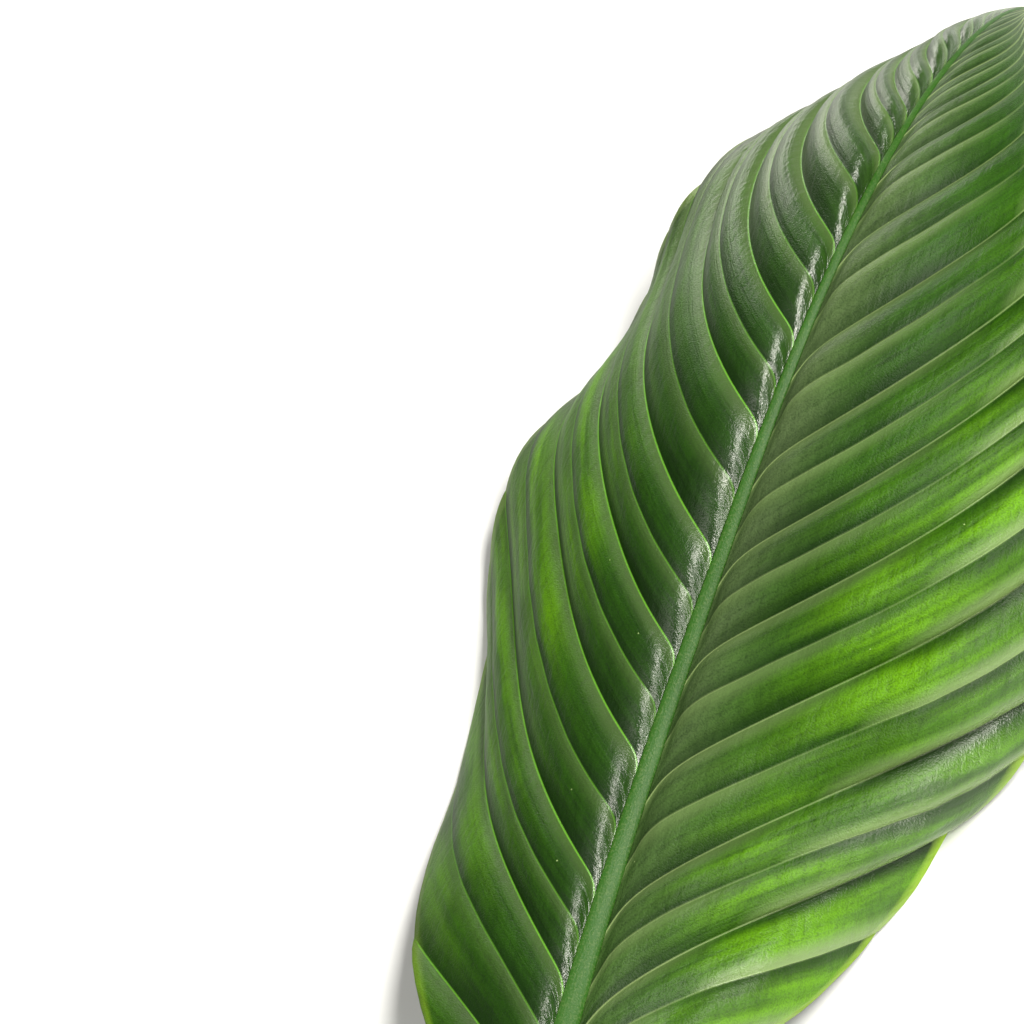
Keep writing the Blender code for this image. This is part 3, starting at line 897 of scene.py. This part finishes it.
class LeafSettings(bpy.types.PropertyGroup):
    """Sizes and colours of the leaf that a user would change."""

    sheet_thickness: FloatProperty(
        name="Sheet thickness", description="Thickness of the blade", default=0.0006,
        unit="LENGTH")
    pleat_height: FloatProperty(
        name="Pleat height",
        description="Swelling between two main veins, as a share of their distance",
        default=0.13, subtype="FACTOR")
    lesser_fold: FloatProperty(
        name="Lesser fold", description="How strongly the lesser vein folds a pleat",
        default=0.28, subtype="FACTOR")
    shoulder_widths: FloatVectorProperty(
        name="Shoulder widths", description="Distance from the midrib within which a pleat rises",
        default=(0.0035, 0.0022), size=2, unit="LENGTH")
    pleat_lean: FloatProperty(
        name="Pleat lean", description="Above 1, pleats drop more steeply on the side of the tip",
        default=1.3)
    right_hook: FloatVectorProperty(
        name="Right hook",
        description="How far a vein runs back along the midrib, and within what distance",
        default=(0.008, 0.0035), size=2, unit="LENGTH")
    left_hook: FloatVectorProperty(
        name="Left hook",
        description="How far a vein runs back along the midrib, and within what distance",
        default=(0.004, 0.0012), size=2, unit="LENGTH")
    # Painted shade: the green painted in the folds, the grooves and pits, and the shade zones
    painted_shade_green: FloatVectorProperty(
        name="Dark green", description="Darkest green of the upper face, in its folds",
        subtype="COLOR", default=linear("#0A2203"))
    deep_green: FloatVectorProperty(
        name="Deep green", description="Deeper green of the upper face", subtype="COLOR",
        default=linear("#1A3A06"))
    mid_green: FloatVectorProperty(
        name="Middle green", description="Lighter green of the upper face", subtype="COLOR",
        default=linear("#2A540A"))
    # Partly painted light shining through the thinner parts, partly their yellower colour; it also
    # blotches the margin
    bright_green: FloatVectorProperty(
        name="Bright green", description="Yellower green of the thinner parts of the blade",
        subtype="COLOR", default=linear("#5E9404"))
    # Painted sheen: the greyer green painted in the dull zones
    grey_sheen_green: FloatVectorProperty(
        name="Dull green", description="Greyer green beside the midrib and on the ridges",
        subtype="COLOR", default=linear("#5C6E48"))
    # Painted sheen on the ridges near the midrib; also the pale pores of the midrib
    ridge_green: FloatVectorProperty(
        name="Ridge green", description="Pale grey-green of the ridge just before a vein",
        subtype="COLOR", default=linear("#647C48"))
    # Painted sheen on the crests towards the right margin
    crest_sheen_green: FloatVectorProperty(
        name="Crest green", description="Pale green of the crests towards the right margin",
        subtype="COLOR", default=linear("#84A05C"))
    vein_green: FloatVectorProperty(
        name="Vein green", description="Pale green of the left half's veins", subtype="COLOR",
        default=linear("#5E9A28"))
    margin_green: FloatVectorProperty(
        name="Margin green", description="Pale yellow-green of the margin", subtype="COLOR",
        default=linear("#98C034"))
    rib_green: FloatVectorProperty(
        name="Midrib green", description="Green of the midrib and the stalk", subtype="COLOR",
        default=linear("#24540A"))
    underside_green: FloatVectorProperty(
        name="Underside green", description="Dull green of the underside", subtype="COLOR",
        default=linear("#50703A"))
    flesh_green: FloatVectorProperty(
        name="Flesh green", description="Pale green of the cut end, pale veins and dust",
        subtype="COLOR", default=linear("#A8BE7E"))


class StageSettings(bpy.types.PropertyGroup):
    """Floor and camera."""

    floor_size: FloatProperty(
        name="Floor size", description="Side of the square floor", default=8.0, unit="LENGTH")
    floor_colour: FloatVectorProperty(
        name="Floor colour", description="Colour of the floor", subtype="COLOR",
        default=linear("#E2E3E6"))
    lens: FloatProperty(name="Lens", description="Focal length in millimetres", default=85.0)


class LEAF_OT_leaf(bpy.types.Operator):
    """Build the leaf with its midrib and stalk"""

    bl_idname = "leaf.build_leaf"
    bl_label = "Leaf"

    def execute(self, context):
        settings = context.scene.leaf_settings
        frames = rib_frames()
        faces = [waxy_face(settings), matte_underside(settings), margin_strip(settings)]
        parts = [add_half(settings, frames, side, faces) for side in (1, -1)]
        parts.append(add_rib(frames, [rib_skin(settings), cut_flesh(settings)]))
        only(parts[0])
        for part in parts:
            part.select_set(True)
        bpy.ops.object.join()
        leaf = context.view_layer.objects.active
        leaf.name = "leaf"
        leaf.data.name = "leaf"
        bpy.ops.object.transform_apply(location=True, rotation=True, scale=True)
        bpy.ops.object.shade_smooth()
        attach(leaf, "root")
        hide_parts("peace_lily_leaf")
        return {"FINISHED"}


# Softboxes: name, place, point that each faces, width and height, and power in watts
SOFTBOXES = (
    ("strip_softbox", (0.60, 0.24, 1.18), (0, 0.05, 0.05), (0.90, 0.26), 28.0),
    ("right_softbox", (1.08, -0.36, 0.52), (0, 0.05, 0.05), (0.50, 0.50), 9.0),
    ("left_softbox", (-0.80, -0.65, 0.95), (0, 0, 0.05), (0.80, 0.80), 7.0),
    ("back_softbox", (-0.80, 1.30, 0.45), (0, 0.1, 0.05), (0.80, 0.80), 14.0),
)
SOFTBOX_COLOUR = "#FFFCF2"

# Camera at the photograph's viewing angle, and its sensor's width in millimetres
CAMERA_PLACE = (0.2607, -0.3073, 0.6143)
CAMERA_ANGLES = (36.69, 18.11, 21.65)
SENSOR_WIDTH = 36


class LEAF_OT_stage(bpy.types.Operator):
    """Set up the floor, the soft lights and the camera"""

    bl_idname = "leaf.build_stage"
    bl_label = "Stage"

    def execute(self, context):
        settings = context.scene.stage_settings
        bpy.ops.object.select_all(action="DESELECT")
        bpy.ops.mesh.primitive_plane_add(size=settings.floor_size)
        floor = context.active_object
        floor.name = "floor"
        material, _, shader = new_material("matte_paper")
        shader.inputs["Base Color"].default_value = (*settings.floor_colour, 1)
        shader.inputs["Roughness"].default_value = 0.9
        floor.data.materials.append(material)
        for light in SOFTBOXES:
            add_light(*light)
        world = bpy.data.worlds.new("studio")
        world.use_nodes = True
        background = world.node_tree.nodes["Background"]
        background.inputs["Color"].default_value = (0.8, 0.8, 0.8, 1)
        background.inputs["Strength"].default_value = 0.05
        context.scene.world = world
        context.scene.view_settings.view_transform = "Standard"
        bpy.ops.object.camera_add(location=CAMERA_PLACE,
                                  rotation=[math.radians(angle) for angle in CAMERA_ANGLES])
        camera = context.active_object
        camera.name = "camera"
        camera.data.lens = settings.lens
        camera.data.sensor_width = SENSOR_WIDTH
        camera.data.clip_start = 0.02
        context.scene.camera = camera
        return {"FINISHED"}


def add_light(name, place, target, size, power):
    """Add a softbox, wide and high as in size, that faces a target."""
    bpy.ops.object.light_add(type="AREA", location=place)
    light = bpy.context.active_object
    light.name = name
    light.data.shape = "RECTANGLE"
    light.data.size = size[0]
    light.data.size_y = size[1]
    light.data.energy = power
    light.data.color = linear(SOFTBOX_COLOUR)
    away = np.array(place, float) - target
    level = math.hypot(away[0], away[1])
    light.rotation_euler = (math.atan2(level, away[2]), 0, math.atan2(away[0], -away[1]))


class LEAF_PT_panel(bpy.types.Panel):
    """Shows the settings of the leaf and the stage, and the buttons that build them"""

    bl_idname = "LEAF_PT_panel"
    bl_label = "Peace lily leaf"
    bl_space_type = "VIEW_3D"
    bl_region_type = "UI"
    bl_category = "Leaf"

    def draw(self, context):
        for group in (context.scene.leaf_settings, context.scene.stage_settings):
            for name in group.__annotations__:
                self.layout.prop(group, name)
        self.layout.operator("leaf.build_leaf")
        self.layout.operator("leaf.build_stage")


CLASSES = (LeafSettings, StageSettings, LEAF_OT_leaf, LEAF_OT_stage, LEAF_PT_panel)


def register():
    for cls in CLASSES:
        bpy.utils.register_class(cls)
    bpy.types.Scene.leaf_settings = PointerProperty(type=LeafSettings)
    bpy.types.Scene.stage_settings = PointerProperty(type=StageSettings)


def unregister():
    del bpy.types.Scene.stage_settings
    del bpy.types.Scene.leaf_settings
    for cls in reversed(CLASSES):
        bpy.utils.unregister_class(cls)


def main():
    register()
    bpy.ops.leaf.build_leaf()
    bpy.ops.leaf.build_stage()


if __name__ == "__main__":
    main()
